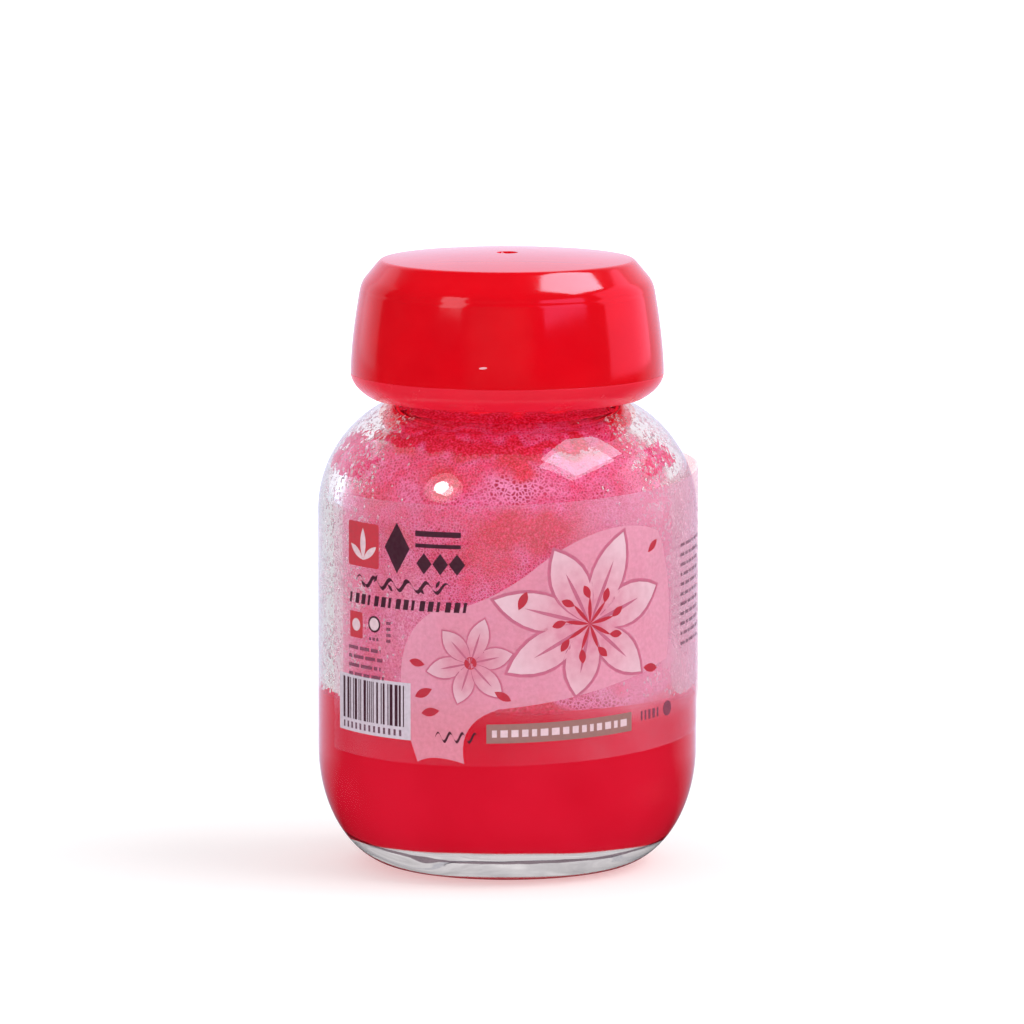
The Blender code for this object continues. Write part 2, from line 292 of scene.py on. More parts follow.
def spaced(outline, gap):
    """The outline with points added so that no two lie further apart than the gap."""
    points = [outline[0]]
    for start, end in zip(outline, outline[1:]):
        count = max(1, math.ceil(math.dist(start, end) / gap))
        for step in range(1, count + 1):
            share = step / count
            points.append(tuple(a + (b - a) * share for a, b in zip(start, end)))
    return points


def shoulder(radius, arc_radius, fillet, steps):
    """The shoulder from the straight wall up to the neck, with its fillet."""
    across = radius + fillet - SHOULDER_CENTRE
    reach = arc_radius + fillet
    rise = math.sqrt(reach**2 - across**2)
    leave_deg = math.degrees(math.atan2(rise, across))
    curve = arc((SHOULDER_CENTRE, SHOULDER_START), arc_radius, 0, leave_deg, steps)
    centre = (radius + fillet, SHOULDER_START + rise)
    return curve[:-1] + arc(centre, fillet, 180 + leave_deg, 180, 4)


def inner_heel(inset, steps=16):
    """The inside from the straight wall down to the middle of the floor, moved in by the inset."""
    centre = (INNER_RADIUS - INNER_HEEL_DEPTH, FLOOR + INNER_HEEL_HEIGHT)
    points = arc(centre, (INNER_HEEL_DEPTH - inset, INNER_HEEL_HEIGHT - inset), 0, -90, steps)
    edge = points[-1]
    crown_steps = 12
    for step in range(1, crown_steps + 1):
        share = 1 - step / crown_steps
        points.append((edge[0] * share, edge[1] + FLOOR_CROWN * (1 - share**2)))
    return points


# Meshes

def placed(name, data):
    """A new object in the scene."""
    obj = bpy.data.objects.new(name, data)
    bpy.context.scene.collection.objects.link(obj)
    return obj


def linked(name, mesh, material, smooth=True):
    if smooth:
        mesh.shade_smooth()
    mesh.materials.append(material)
    return placed(name, mesh)


def closed_mesh(name, verts, faces):
    """A mesh whose faces all look outwards."""
    mesh = bpy.data.meshes.new(name)
    mesh.from_pydata(verts, [], faces)
    bm = bmesh.new()
    bm.from_mesh(mesh)
    bmesh.ops.recalc_face_normals(bm, faces=bm.faces)
    bm.to_mesh(mesh)
    bm.free()
    return mesh


def turned_mesh(name, outline, columns, shape=None):
    """A closed solid of revolution. shape(radius, height, turn) may move each point of the outline.

    The outline starts and ends on the axis, and each turn from the front grows towards +X.
    """
    inner = outline[1:-1]
    rows = len(inner)
    turns = [FULL_TURN * column / columns for column in range(columns)]
    verts = []
    for radius, height in inner:
        for turn in turns:
            r, z = shape(radius, height, turn) if shape else (radius, height)
            verts.append(polar(r, turn, z))
    first = len(verts)
    last = first + 1
    verts += [(0, 0, outline[0][1]), (0, 0, outline[-1][1])]
    faces = []
    for column in range(columns):
        following = (column + 1) % columns
        faces.append((first, column, following))
        for row in range(rows - 1):
            low = row * columns
            high = low + columns
            faces.append((low + column, high + column, high + following, low + following))
        top = (rows - 1) * columns
        faces.append((top + column, last, top + following))
    return closed_mesh(name, verts, faces)


def thread_rise(height, turn, low):
    """How far the thread stands out at this place, as a share of its depth. It starts at this height."""
    highest = 0
    for lap in range(-1, 3):
        along = turn / FULL_TURN + lap
        if not 0 <= along <= THREAD_TURNS:
            continue
        fade = min(along, THREAD_TURNS - along) / THREAD_RUN_IN
        off = abs(height - (low + THREAD_PITCH * along))
        share = (THREAD_FOOT_HALF - off) / (THREAD_FOOT_HALF - THREAD_TIP_HALF)
        share = min(max(share, 0), 1) * min(fade, 1)
        highest = max(highest, share * share * (3 - 2 * share))
    return highest


# Shader helpers

class Nodes:
    """The node tree of a new material or world, with short ways to add and join nodes."""

    def __init__(self, name, kind=bpy.data.materials):
        self.owner = kind.new(name)
        self.owner.use_nodes = True
        self.tree = self.owner.node_tree
        self.shader = self.tree.nodes.get("Principled BSDF")

    def put(self, value, socket):
        """Joins another node's output to the socket, or sets it to a number or colour."""
        if isinstance(value, bpy.types.NodeSocket):
            self.tree.links.new(value, socket)
        elif isinstance(value, tuple) and len(socket.default_value) == 4:
            socket.default_value = (*value, 1)
        else:
            socket.default_value = value

    def add(self, kind, *values, **settings):
        """A new node with its first inputs filled in order."""
        node = self.tree.nodes.new(kind)
        for name, value in settings.items():
            setattr(node, name, value)
        for value, socket in zip(values, node.inputs):
            self.put(value, socket)
        return node

    def set(self, **values):
        """Fills the shader's inputs, whose names have _ for each space."""
        for name, value in values.items():
            self.put(value, self.shader.inputs[name.replace("_", " ")])

    def finish(self, surface):
        self.put(surface, self.tree.nodes["Material Output"].inputs["Surface"])
        return self.owner

    def place(self):
        return self.add("ShaderNodeTexCoord").outputs["Object"]

    def split(self, place):
        return self.add("ShaderNodeSeparateXYZ", place).outputs

    def math(self, operation, *values):
        return self.add("ShaderNodeMath", *values, operation=operation).outputs[0]

    def distance(self, point=(0, 0, 0)):
        """How far the surface lies from a point, else from the middle of the jar's foot."""
        node = self.add("ShaderNodeVectorMath", self.place(), tuple(point), operation="DISTANCE")
        return node.outputs["Value"]

    def noise(self, size, detail=3.0, rough=0.5):
        """Smooth noise of this feature size, from 0 to 1."""
        node = self.add("ShaderNodeTexNoise", self.place())
        for name, value in (("Scale", 1 / size), ("Detail", detail), ("Roughness", rough)):
            node.inputs[name].default_value = value
        return node.outputs["Fac"]

    def cells(self, size):
        """Distance to the nearest edge of cells of this size."""
        node = self.add("ShaderNodeTexVoronoi", self.place(), feature="DISTANCE_TO_EDGE")
        node.inputs["Scale"].default_value = 1 / size
        return node.outputs["Distance"]

    def ranged(self, value, low, high, to_low, to_high):
        return self.add("ShaderNodeMapRange", value, low, high, to_low, to_high).outputs["Result"]

    def spots(self, size, low, high, spread=0.2, **looks):
        """A value that wanders from low to high in spots of this size, sharper for a small spread."""
        return self.ranged(self.noise(size, **looks), 0.5 - spread, 0.5 + spread, low, high)

    def blend(self, share, first, second):
        """A colour between two, each a tuple or another node's output."""
        node = self.add("ShaderNodeMix", share, data_type="RGBA")
        self.put(first, node.inputs[6])
        self.put(second, node.inputs[7])
        return node.outputs[2]

    def mixed(self, share, first, second):
        """Two shaders, the second by this share."""
        return self.add("ShaderNodeMixShader", share, first, second).outputs[0]

    def see_through(self, opacity):
        """The finished material, with what lies behind showing by the share that the opacity leaves."""
        clear = self.add("ShaderNodeBsdfTransparent").outputs[0]
        return self.finish(self.mixed(opacity, clear, self.shader.outputs[0]))

    def painted_glow_within(self, colour, share):
        """Gives the shader this colour, partly as painted glow (emission) that stands in for light scattered
        inside and evens out the shade, which shadows can't take away.
        """
        dimmed = self.add("ShaderNodeVectorMath", colour, operation="SCALE")
        dimmed.inputs["Scale"].default_value = 1 - share
        self.set(Base_Color=dimmed.outputs[0], Emission_Color=colour, Emission_Strength=share)

    def attribute(self, name):
        return self.add("ShaderNodeAttribute", attribute_name=name).outputs["Fac"]

    def bump(self, height, strength, distance):
        node = self.add("ShaderNodeBump")
        for name, value in (("Strength", strength), ("Distance", distance), ("Height", height)):
            self.put(value, node.inputs[name])
        self.set(Normal=node.outputs["Normal"])


# Materials

def glass(name, index):
    """Clear glass with faint smears and waves."""
    nodes = Nodes(name)
    nodes.set(Base_Color=CLEAR, IOR=index, Transmission_Weight=1, Roughness=nodes.spots(6 * MM, 0.0, 0.025))
    nodes.bump(nodes.noise(3 * MM, detail=1), 0.15, 0.02 * MM)
    return nodes


def base_material():
    """The base with a painted line of shade round the heel: clear from outside, and light caught in the
    glass leaves here.
    """
    nodes = glass("base_glass", GLASS_INDEX)
    place = nodes.split(nodes.place())
    # The dark line is painted shade, standing in for the contact shadow near the jar's foot.
    line = nodes.spots(9 * MM, *PAINTED_SHADE_HEIGHTS, detail=4)
    for reach in PAINTED_SHADE_RISES:
        line = nodes.math("ADD", line, nodes.ranged(place["X"], *reach))
    half = nodes.ranged(nodes.noise(5 * MM), 0.40, 0.70, *PAINTED_SHADE_HALVES)
    shade_blob = nodes.ranged(nodes.distance(PAINTED_SHADE_BLOB), 0.6 * MM, 2.4 * MM, PAINTED_SHADE_BLOB_HALF, 0)
    off = nodes.math("ABSOLUTE", nodes.math("SUBTRACT", place["Z"], line))
    past_edge = nodes.math("SUBTRACT", off, nodes.math("ADD", half, shade_blob))
    nodes.set(Base_Color=nodes.blend(nodes.ranged(past_edge, 0, 0.08 * MM, 0.92, 0), CLEAR, PAINTED_SHADE_COLOUR))
    streaks = nodes.blend(nodes.spots(2.2 * MM, 0, 1, 0.15), (0.80, 0.80, 0.81), WHITE)
    leak = nodes.add("ShaderNodeBsdfRefraction", streaks, 0.05, 1.001).outputs[0]
    inside = nodes.add("ShaderNodeNewGeometry").outputs["Backfacing"]
    return nodes.finish(nodes.mixed(inside, nodes.shader.outputs[0], leak))


def droplet_material():
    """Small drops bend and scatter the light round them, so they are partly clear and partly pale."""
    nodes = Nodes("condensed_droplets")
    nodes.set(Base_Color=(0.99, 0.95, 0.97), IOR=1.25, Roughness=nodes.spots(2 * MM, 0.0, 0.05))
    nodes.set(Transmission_Weight=nodes.spots(1.1 * MM, 0.45, 0.9, 0.15))
    return nodes.owner


def red_plastic(name, colour, roughness, grain, glow):
    """Moulded plastic: a faint flow pattern in the colour, part of it given as painted glow that evens out
    the shade, and a fine texture on the surface.
    """
    nodes = Nodes(name)
    deep = tuple(value * 0.93 for value in colour)
    nodes.painted_glow_within(nodes.blend(nodes.spots(7 * MM, 0, 1, 0.15, detail=2), deep, colour), glow)
    nodes.set(Roughness=nodes.spots(2.5 * MM, roughness * 0.85, roughness * 1.2, detail=4), IOR=1.5)
    nodes.bump(nodes.noise(0.35 * MM, detail=2), grain, 0.01 * MM)
    return nodes.owner


def liner_material():
    nodes = Nodes("sealing_foam")
    cells = nodes.cells(0.25 * MM)
    tone = nodes.blend(nodes.ranged(cells, 0, 0.25, 0, 1), srgb(214, 206, 204), srgb(238, 234, 230))
    nodes.set(Base_Color=tone, Roughness=0.75)
    nodes.bump(cells, 0.4, 0.05 * MM)
    return nodes.owner


def foam_material():
    """Open-cell foam: fine pale struts over deep pink, wider cells in places, and red where it is soaked.
    Part of its colour is painted glow, and where the wet value passes 1 a brighter red with more glow is
    painted light.
    """
    nodes = Nodes("soaked_foam")
    wetness_and_painted_light = nodes.attribute("wet")
    grain = nodes.spots(0.28 * MM, 0, 1, 0.11, detail=2, rough=0.6)
    struts = nodes.ranged(nodes.cells(0.36 * MM), 0.02, 0.22, 1, 0)
    wide_struts = nodes.ranged(nodes.cells(0.46 * MM), 0.04, 0.26, 1, 0)
    tone = nodes.spots(2.4 * MM, 0, 1, 0.16, detail=4, rough=0.6)
    ground = nodes.blend(grain, srgb(188, 0, 50), nodes.blend(tone, srgb(244, 14, 76), srgb(252, 60, 130)))
    fine = nodes.blend(struts, ground, nodes.blend(tone, srgb(252, 56, 118), srgb(255, 128, 184)))
    wide = nodes.blend(wide_struts, srgb(186, 4, 58), srgb(254, 140, 190))
    dry = nodes.blend(nodes.attribute("open"), fine, wide)
    pale = nodes.blend(grain, srgb(228, 90, 150), srgb(254, 198, 226))
    faded = nodes.blend(nodes.attribute("pale"), dry, pale)
    wet = nodes.blend(grain, srgb(206, 0, 28), nodes.blend(struts, srgb(240, 6, 52), srgb(255, 64, 108)))
    soaked = nodes.blend(nodes.ranged(wetness_and_painted_light, 0.1, 0.6, 0, 1), faded, wet)
    # Painted light: where the wet value passes 1, on the collar in the cap's shade, a brighter red and a
    # stronger glow lift that shade.
    painted_lit_red = nodes.blend(grain, srgb(250, 0, 26), srgb(255, 26, 56))
    painted_light_share = nodes.ranged(wetness_and_painted_light, 1.0, 1.4, 0, 1)
    nodes.painted_glow_within(nodes.blend(painted_light_share, soaked, painted_lit_red), 0.26)
    nodes.set(Emission_Strength=nodes.ranged(painted_light_share, 0, 1, 0.26, 0.42))
    nodes.set(Roughness=nodes.ranged(wetness_and_painted_light, 0, 1, 0.6, 0.4), Specular_IOR_Level=0.15)
    nodes.bump(grain, 0.5, 0.10 * MM)
    return nodes.owner


def remover_material():
    """What the eye meets inside the liquid: a slightly cloudy red. The glass round it bends the light."""
    nodes = Nodes("red_remover")
    cloud = nodes.spots(9 * MM, 0, 1, 0.15, detail=2)
    # Nearly half the colour is painted glow, which evens out the shade towards the liquid's bottom and
    # sides.
    nodes.painted_glow_within(nodes.blend(cloud, srgb(219, 17, 43), srgb(226, 22, 49)), 0.45)
    nodes.set(Roughness=nodes.spots(4 * MM, 0.6, 0.7), Specular_IOR_Level=0)
    return nodes.owner


def film_material():
    """Clear film, hazier at the sides, most on the right, and clearer where it lies over the liquid."""
    nodes = Nodes("hazy_film")
    haze = nodes.noise(5 * MM, detail=4)
    nodes.set(Base_Color=nodes.blend(haze, srgb(222, 156, 190), srgb(244, 190, 214)))
    nodes.set(Roughness=nodes.spots(1.5 * MM, 0.18, 0.3))
    nodes.bump(nodes.noise(4 * MM, detail=1), 0.2, 0.03 * MM)
    place = nodes.split(nodes.place())
    opacity = nodes.ranged(nodes.math("ABSOLUTE", place["X"]), 5 * MM, 19 * MM, 0.07, 0.22)
    for share in (
        nodes.ranged(haze, 0.3, 0.7, 0.8, 1.2),
        nodes.ranged(place["X"], -8 * MM, 12 * MM, 0.85, 1.5),
        nodes.ranged(place["Z"], 20.5 * MM, 24 * MM, 0.26, 1),
    ):
        opacity = nodes.math("MULTIPLY", opacity, share)
    return nodes.see_through(opacity)


def ink_material(name, colour, opacity):
    """Printed ink: a fine mottle in the colour, and slightly thin in places."""
    nodes = Nodes("print_" + name)
    colour = srgb(*colour)
    mottle = nodes.spots(0.5 * MM, 0, 1)
    faded = tuple(value * 0.88 + 0.02 for value in colour)
    nodes.set(Base_Color=nodes.blend(mottle, faded, colour))
    nodes.set(Roughness=nodes.ranged(mottle, 0, 1, 0.3, 0.42))
    return nodes.see_through(nodes.ranged(mottle, 0, 1, opacity * 0.94, opacity))


def petal_material(name, x, y, heart, tip, reach, opacity):
    """Ink that pales from the flower's heart to its petals' tips, with a soft mottle."""
    nodes = Nodes(name)
    away = nodes.distance(on_label(x * MM, y * MM, FILM_THICKNESS))
    fade = nodes.ranged(away, 0.12 * reach * MM, 0.9 * reach * MM, 0, 1)
    mottle = nodes.spots(1.2 * MM, 0, 1)
    rich = nodes.blend(fade, heart, tip)
    soft = nodes.blend(mottle, rich, nodes.blend(fade, tip, srgb(250, 214, 226)))
    nodes.set(Base_Color=nodes.blend(0.35, rich, soft), Roughness=nodes.ranged(mottle, 0, 1, 0.3, 0.4))
    return nodes.see_through(nodes.ranged(mottle, 0, 1, opacity * 0.92, opacity))


def floor_material():
    """A pale floor that glows towards white away from the jar. Gloss and glass see it by looks of their own.

    A ray through glass counts as glossy too, so its look is chosen last.
    """
    nodes = Nodes("pale_floor")
    tone = nodes.blend(nodes.noise(0.2, detail=2), (0.72, 0.72, 0.73), (0.74, 0.74, 0.74))
    nodes.set(Base_Color=tone, Roughness=0.9, Specular_IOR_Level=0.1)
    ray = nodes.add("ShaderNodeLightPath").outputs
    far = nodes.distance()

    def glow(colour, strength):
        return nodes.add("ShaderNodeEmission", colour, strength).outputs[0]

    own = nodes.math("MULTIPLY", ray["Is Camera Ray"], nodes.ranged(far, 0.06, 0.5, FLOOR_GLOW, 1.0))
    surface = nodes.add("ShaderNodeAddShader", nodes.shader.outputs[0], glow(WHITE, own)).outputs[0]
    way = nodes.add("ShaderNodeVectorMath", nodes.place(), operation="NORMALIZE").outputs[0]
    turn, front, back, tint = WORLD_LOOKS["Is Glossy Ray"]
    level = nodes.ranged(nodes.split(way)["Y"], *turn, front, back)
    # Gloss sees the floor darker close to the jar: a painted shadow round its foot.
    level = nodes.math("MULTIPLY", level, nodes.ranged(far, 0.03, 0.10, FLOOR_SHADE_NEAR, 1.0))
    surface = nodes.mixed(ray["Is Glossy Ray"], surface, glow(tint, level))
    streaks = nodes.spots(4 * MM, *FLOOR_THROUGH_GLASS, 0.15)
    return nodes.finish(nodes.mixed(ray["Is Transmission Ray"], surface, glow(FLOOR_TINT, streaks)))


# Glass jar

def jar_ripple(radius, height, turn, inside):
    """Moves a point of the glass a little, as blown glass is never quite even."""
    off_axis = min(radius / RIPPLE_FADE, 1)
    if not inside:
        wave = 1 + wander(polar(radius, turn, height), RIPPLE_LENGTH, 3)
        return radius - GLASS_RIPPLE * 0.3 * off_axis * wave, height
    heel = min(max((HEEL_HEIGHT - height) / RIPPLE_FADE, 0), 1)
    depth = GLASS_RIPPLE + (HEEL_RIPPLE - GLASS_RIPPLE) * heel
    wave = wander(polar(radius, turn, height), RIPPLE_LENGTH, 11) * off_axis
    lift = heel * wave * HEEL_RIPPLE * 0.8
    return radius + depth * wave * 0.4, height + lift


def build_jar(material, wetted_material, base):
    """The glass from the push-up round the outside to the lip, and back down the inside to the floor."""
    foot_radius = JAR_RADIUS - HEEL_DEPTH
    push_up_radius = foot_radius - BEARING_WIDTH
    outside = []
    for step in range(PUSH_UP_STEPS):
        share = step / PUSH_UP_STEPS
        outside.append((push_up_radius * share, PUSH_UP * (1 - share**2)))
    outside.append((push_up_radius, 0))
    outside += arc((foot_radius, HEEL_HEIGHT), (HEEL_DEPTH, HEEL_HEIGHT), -90, 0, 28)
    outside += shoulder(NECK_RADIUS, SHOULDER_RADIUS, ROOT_FILLET, 24)
    outside += arc((NECK_RADIUS, BEAD_HEIGHT), BEAD_ROUND, -90, 90, 10)
    outside += arc((NECK_RADIUS - LIP_ROUND, JAR_RIM - LIP_ROUND), LIP_ROUND, 0, 90, 5)
    thread_low = BEAD_HEIGHT + BEAD_ROUND
    thread_high = JAR_RIM - LIP_ROUND
    dense = []
    for start, end in zip(outside, outside[1:]):
        on_neck = min(start[1], end[1]) >= thread_low and max(start[1], end[1]) <= thread_high
        straight = math.dist(start, end) > WALL_GAP
        gap = THREAD_GAP if on_neck else WALL_GAP
        dense += spaced([start, end], gap)[:-1] if straight else [start]
    dense.append(outside[-1])
    inside = arc((BORE_RADIUS + LIP_ROUND, JAR_RIM - LIP_ROUND), LIP_ROUND, 90, 180, 5)
    inside += shoulder(BORE_RADIUS, INNER_SHOULDER, BORE_FILLET, 20)[::-1]
    inside += [(INNER_RADIUS, WET_TOP)] + inner_heel(0)
    inside = spaced(inside, WALL_GAP)
    bend = len(dense)
    tags = {}
    for index, point in enumerate(dense + inside):
        tags.setdefault(point, index >= bend)

    def shape(radius, height, turn):
        is_inside = tags[(radius, height)]
        if not is_inside and thread_low < height < thread_high and radius > NECK_RADIUS - HAIR:
            return radius + THREAD_DEPTH * thread_rise(height, turn, THREAD_LOW), height
        if height > NECK_ROOT or (not is_inside and height < 0.4 * MM):
            return radius, height
        return jar_ripple(radius, height, turn, is_inside)

    outline = dense + inside
    first_wet = next(row for row, (_, z) in enumerate(outline) if row > bend and z < WET_TOP + HAIR)
    base_end = next(row for row, (_, z) in enumerate(dense) if row > PUSH_UP_STEPS and z > BASE_TOP)
    mesh = turned_mesh("glass_jar_fine", outline, HARD_COLUMNS, shape)
    jar = linked("blown_jar", mesh, material)
    mesh.materials.append(wetted_material)
    mesh.materials.append(base)
    for face in mesh.polygons:
        low_row = min(face.vertices) // HARD_COLUMNS
        face.material_index = 2 if low_row < base_end else int(low_row + 1 >= first_wet)
    jar.visible_shadow = False
    jar.visible_diffuse = False
    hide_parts("glass_jar")
    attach(jar, "jar")
    return jar


# Remover

def build_remover(material):
    """The liquid stands a hair off the glass, whose wetted faces bend light as if the two touched."""
    inset = REMOVER_INSET
    level = sponge_low.z - HAIR
    edge = INNER_RADIUS - inset
    outline = [(0, level), (SPONGE_RADIUS - 0.4 * MM, level), (edge - 0.06 * MM, WET_TOP), (edge, WET_TOP)]
    outline = spaced(outline + [(edge, level - 0.3 * MM)] + inner_heel(inset), WALL_GAP)

    def shape(radius, height, turn):
        if height > level - 0.35 * MM:
            return radius, height
        return jar_ripple(radius, height, turn, True)

    liquid = linked("remover", turned_mesh("remover_fine", outline, REMOVER_COLUMNS, shape), material)
    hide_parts("remover_liquid")
    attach(liquid, "jar")


# Sponge

# Soaked patches: turn and height of the middle, half sizes, and how wet. Above 1 they are painted brighter
# with more glow: painted light on the collar, which lies in the cap's shade.
WET_AND_LIT_PATCHES = [
    (0, 60.5, 360, 3.6, 1.5),
    (0, 56.6, 360, 1.2, 0.6),
    (-30, 54.3, 38, 0.9, 1.0),
    (-74, 51.8, 22, 3.4, 0.25),
    (12, 54.2, 30, 0.7, 0.9),
    (66, 51.8, 16, 2.2, 0.15),
    (2, 52.6, 8, 1.3, 0.8),
    (-22, 51.0, 12, 1.8, 0.6),
    (6, 45.2, 20, 2.6, 0.7),
    (-10, 42.0, 12, 2.0, 0.5),
    (30, 41.0, 8, 1.6, 0.4),
    (-50, 48.6, 10, 1.6, 0.35),
    (-38, 43.6, 5, 1.2, 0.45),
    (-50, 22.3, 42, 1.9, 1.0),
    (6, 22.0, 14, 1.4, 1.0),
    (75, 22.2, 18, 1.6, 1.0),
    (180, 22.4, 90, 1.8, 1.0),
    (120, 40.0, 26, 4.0, 0.6),
    (165, 50.0, 24, 3.0, 0.8),
    (205, 33.0, 20, 4.0, 0.6),
    (255, 46.0, 20, 4.0, 0.7),
]

# Where the foam is pressed against the glass, without air between them
CONTACT_PATCHES = [
    (0, 60.6, 360, 2.6, 2.0),
    (0, 57.6, 62, 2.8, 2.0),
    (180, 57.6, 62, 2.8, 2.0),
    (-28, 54.2, 34, 0.7, 1.5),
    (12, 54.1, 26, 0.5, 1.4),
    (-74, 51.8, 20, 2.8, 1.05),
    (66, 51.8, 14, 1.8, 1.05),
    (-50, 22.2, 42, 1.2, 1.2),
    (6, 21.8, 14, 0.9, 1.2),
    (75, 22.0, 18, 1.1, 1.2),
    (180, 22.2, 90, 1.2, 1.2),
]

# Paler, airier patches
PALE_PATCHES = [
    (-34, 32.0, 11, 7.0, 0.45),
    (-32, 25.0, 7, 4.0, 0.7),
    (-76, 40.0, 14, 12.0, 0.5),
    (40, 44.0, 14, 4.0, 0.3),
    (72, 36.0, 13, 11.0, 0.6),
    (30, 26.2, 26, 1.6, 0.4),
    (150, 32.0, 24, 5.0, 0.45),
    (225, 42.0, 22, 4.0, 0.45),
]

# Patches where the foam lies close to the glass and its cells show
OPEN_PATCHES = [
    (4, 50.0, 12, 2.2, 1.0),
    (-34, 49.0, 8, 2.0, 0.5),
    (34, 23.4, 24, 1.4, 1.0),
    (40, 47.0, 14, 3.0, 0.5),
    (140, 45.0, 22, 4.0, 0.7),
    (235, 30.0, 24, 4.0, 0.7),
]


def patch_share(patches, turn_deg, height):
    """How far a place lies in any of the patches, from 0 to 1, with an uneven edge."""
    total = 0
    for middle_deg, middle, half_deg, half_height, strength in patches:
        across = (turn_deg - middle_deg + 180) % 360 - 180
        off = math.hypot(across / half_deg, (height - middle * MM) / (half_height * MM))
        total = max(total, strength * min(max(1.5 - off, 0), 1))
    return total


def build_sponge(material):
    """The foam plug: cells pressed into its surface, and a finger hole with a round floor."""
    bottom = sponge_low.z
    top = SPONGE_TOP
    arc_radius = INNER_SHOULDER - SEAT_GAP
    side = [(SPONGE_RADIUS, bottom)]
    side += arc((SHOULDER_CENTRE, SHOULDER_START), arc_radius, 0, SPONGE_CREASE_DEG - 4, 24)
    collar_radius = BORE_RADIUS - SEAT_GAP
    collar = shoulder(collar_radius, arc_radius, BORE_FILLET + SEAT_GAP, 48)
    collar = [point for point in collar if point[0] < SPONGE_SEAT_RADIUS]
    brim = (collar_radius, top)
    crease = math.radians(SPONGE_CREASE_DEG)
    deep = arc_radius - SPONGE_CREASE_DEPTH
    dip = (SHOULDER_CENTRE + deep * math.cos(crease), SHOULDER_START + deep * math.sin(crease))
    shelf = rounded(side[-1], dip, collar[0], SPONGE_CREASE_ROUND)
    edge = rounded(collar[-1], brim, (SPONGE_HOLE_RADIUS, top), SPONGE_BRIM_ROUND)
    hole_centre = (0, bottom + SPONGE_FLOOR + SPONGE_HOLE_RADIUS)
    mouth = rounded(brim, (SPONGE_HOLE_RADIUS, top), (SPONGE_HOLE_RADIUS, bottom), SPONGE_MOUTH_ROUND)
    hole = arc(hole_centre, SPONGE_HOLE_RADIUS, 0, -90, 12)
    outline = spaced([(0, bottom), (SPONGE_RADIUS, bottom)], WALL_GAP)[:-1]
    outline += spaced(side + shelf + collar + edge, 0.28 * MM)
    outline += spaced([edge[-1]] + mouth, 0.3 * MM)[1:] + spaced([mouth[-1]] + hole, 0.45 * MM)[1:]

    def relief(place):
        distances, _ = noise.voronoi(place / CELL)
        pore = min(max((distances[1] - distances[0]) / 0.7, 0), 1)
        lump = 0.5 + 0.5 * wander(place, LUMP)
        return CELL_DEPTH * pore + LUMP_DEPTH * lump

    mesh = turned_mesh("sponge_fine", outline, SPONGE_COLUMNS)
    normals = [vert.normal.copy() for vert in mesh.vertices]
    wet, pale, wide = (mesh.attributes.new(name, "FLOAT", "POINT") for name in ("wet", "pale", "open"))
    for index, vert in enumerate(mesh.vertices):
        x, y, z = vert.co
        turn_deg = math.degrees(math.atan2(x, -y))
        uneven = PATCH_WANDER_DEG * wander(vert.co, 3.5 * MM)
        uneven_height = PATCH_WANDER * wander(vert.co, 2.4 * MM, 7)
        outer = math.hypot(x, y) > SPONGE_HOLE_RADIUS + 3 * MM
        soaked = patch_share(WET_AND_LIT_PATCHES, turn_deg + uneven, z + uneven_height)
        wet.data[index].value = soaked if outer else min(soaked, 0.3)
        pale.data[index].value = patch_share(PALE_PATCHES, turn_deg - uneven, z + uneven_height)
        wide.data[index].value = patch_share(OPEN_PATCHES, turn_deg - uneven, z - uneven_height)
        if z > bottom + HAIR:
            speckle = wander(vert.co, 0.5 * MM) + 0.5 * wander(vert.co, 1.6 * MM)
            close = patch_share(CONTACT_PATCHES, turn_deg + uneven, z + 0.5 * uneven_height)
            press = min(max((close + CONTACT_SPECKLE * speckle - 0.6) / 0.12, 0), 1) if outer else 0
            vert.co += normals[index] * (WET_CONTACT * press - relief(vert.co) * (1 - press))
    sponge = linked("foam_sponge", mesh, material)
    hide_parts("sponge")
    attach(sponge, "jar")


# Droplets on the inside of the glass

def inner_wall_at(height):
    """Radius of the glass's inside and how far its normal leans up, at this height above the heel."""
    if height <= SHOULDER_START:
        return INNER_RADIUS, 0.0
    lean = math.asin(min((height - SHOULDER_START) / INNER_SHOULDER, 1))
    return SHOULDER_CENTRE + INNER_SHOULDER * math.cos(lean), lean


def droplet_share(turn, height):
    """How thickly drops stand here: few where the foam wets the glass in front, many at the sides."""
    off_deg = abs((math.degrees(turn) + 180) % 360 - 180)
    few = DROPLET_FEW if off_deg > DROPLET_FIRST_DEG else 0
    side = min(max((off_deg - DROPLET_START_DEG) / DROPLET_FADE_DEG, few), 1)
    back = DROPLET_BACK if off_deg > DROPLET_BACK_DEG else 1
    patchy = 0.75 + 0.9 * noise.noise(Vector((math.sin(turn), math.cos(turn), height / (20 * MM))) * 4)
    return side * back * min(max(patchy, 0.15), 1)


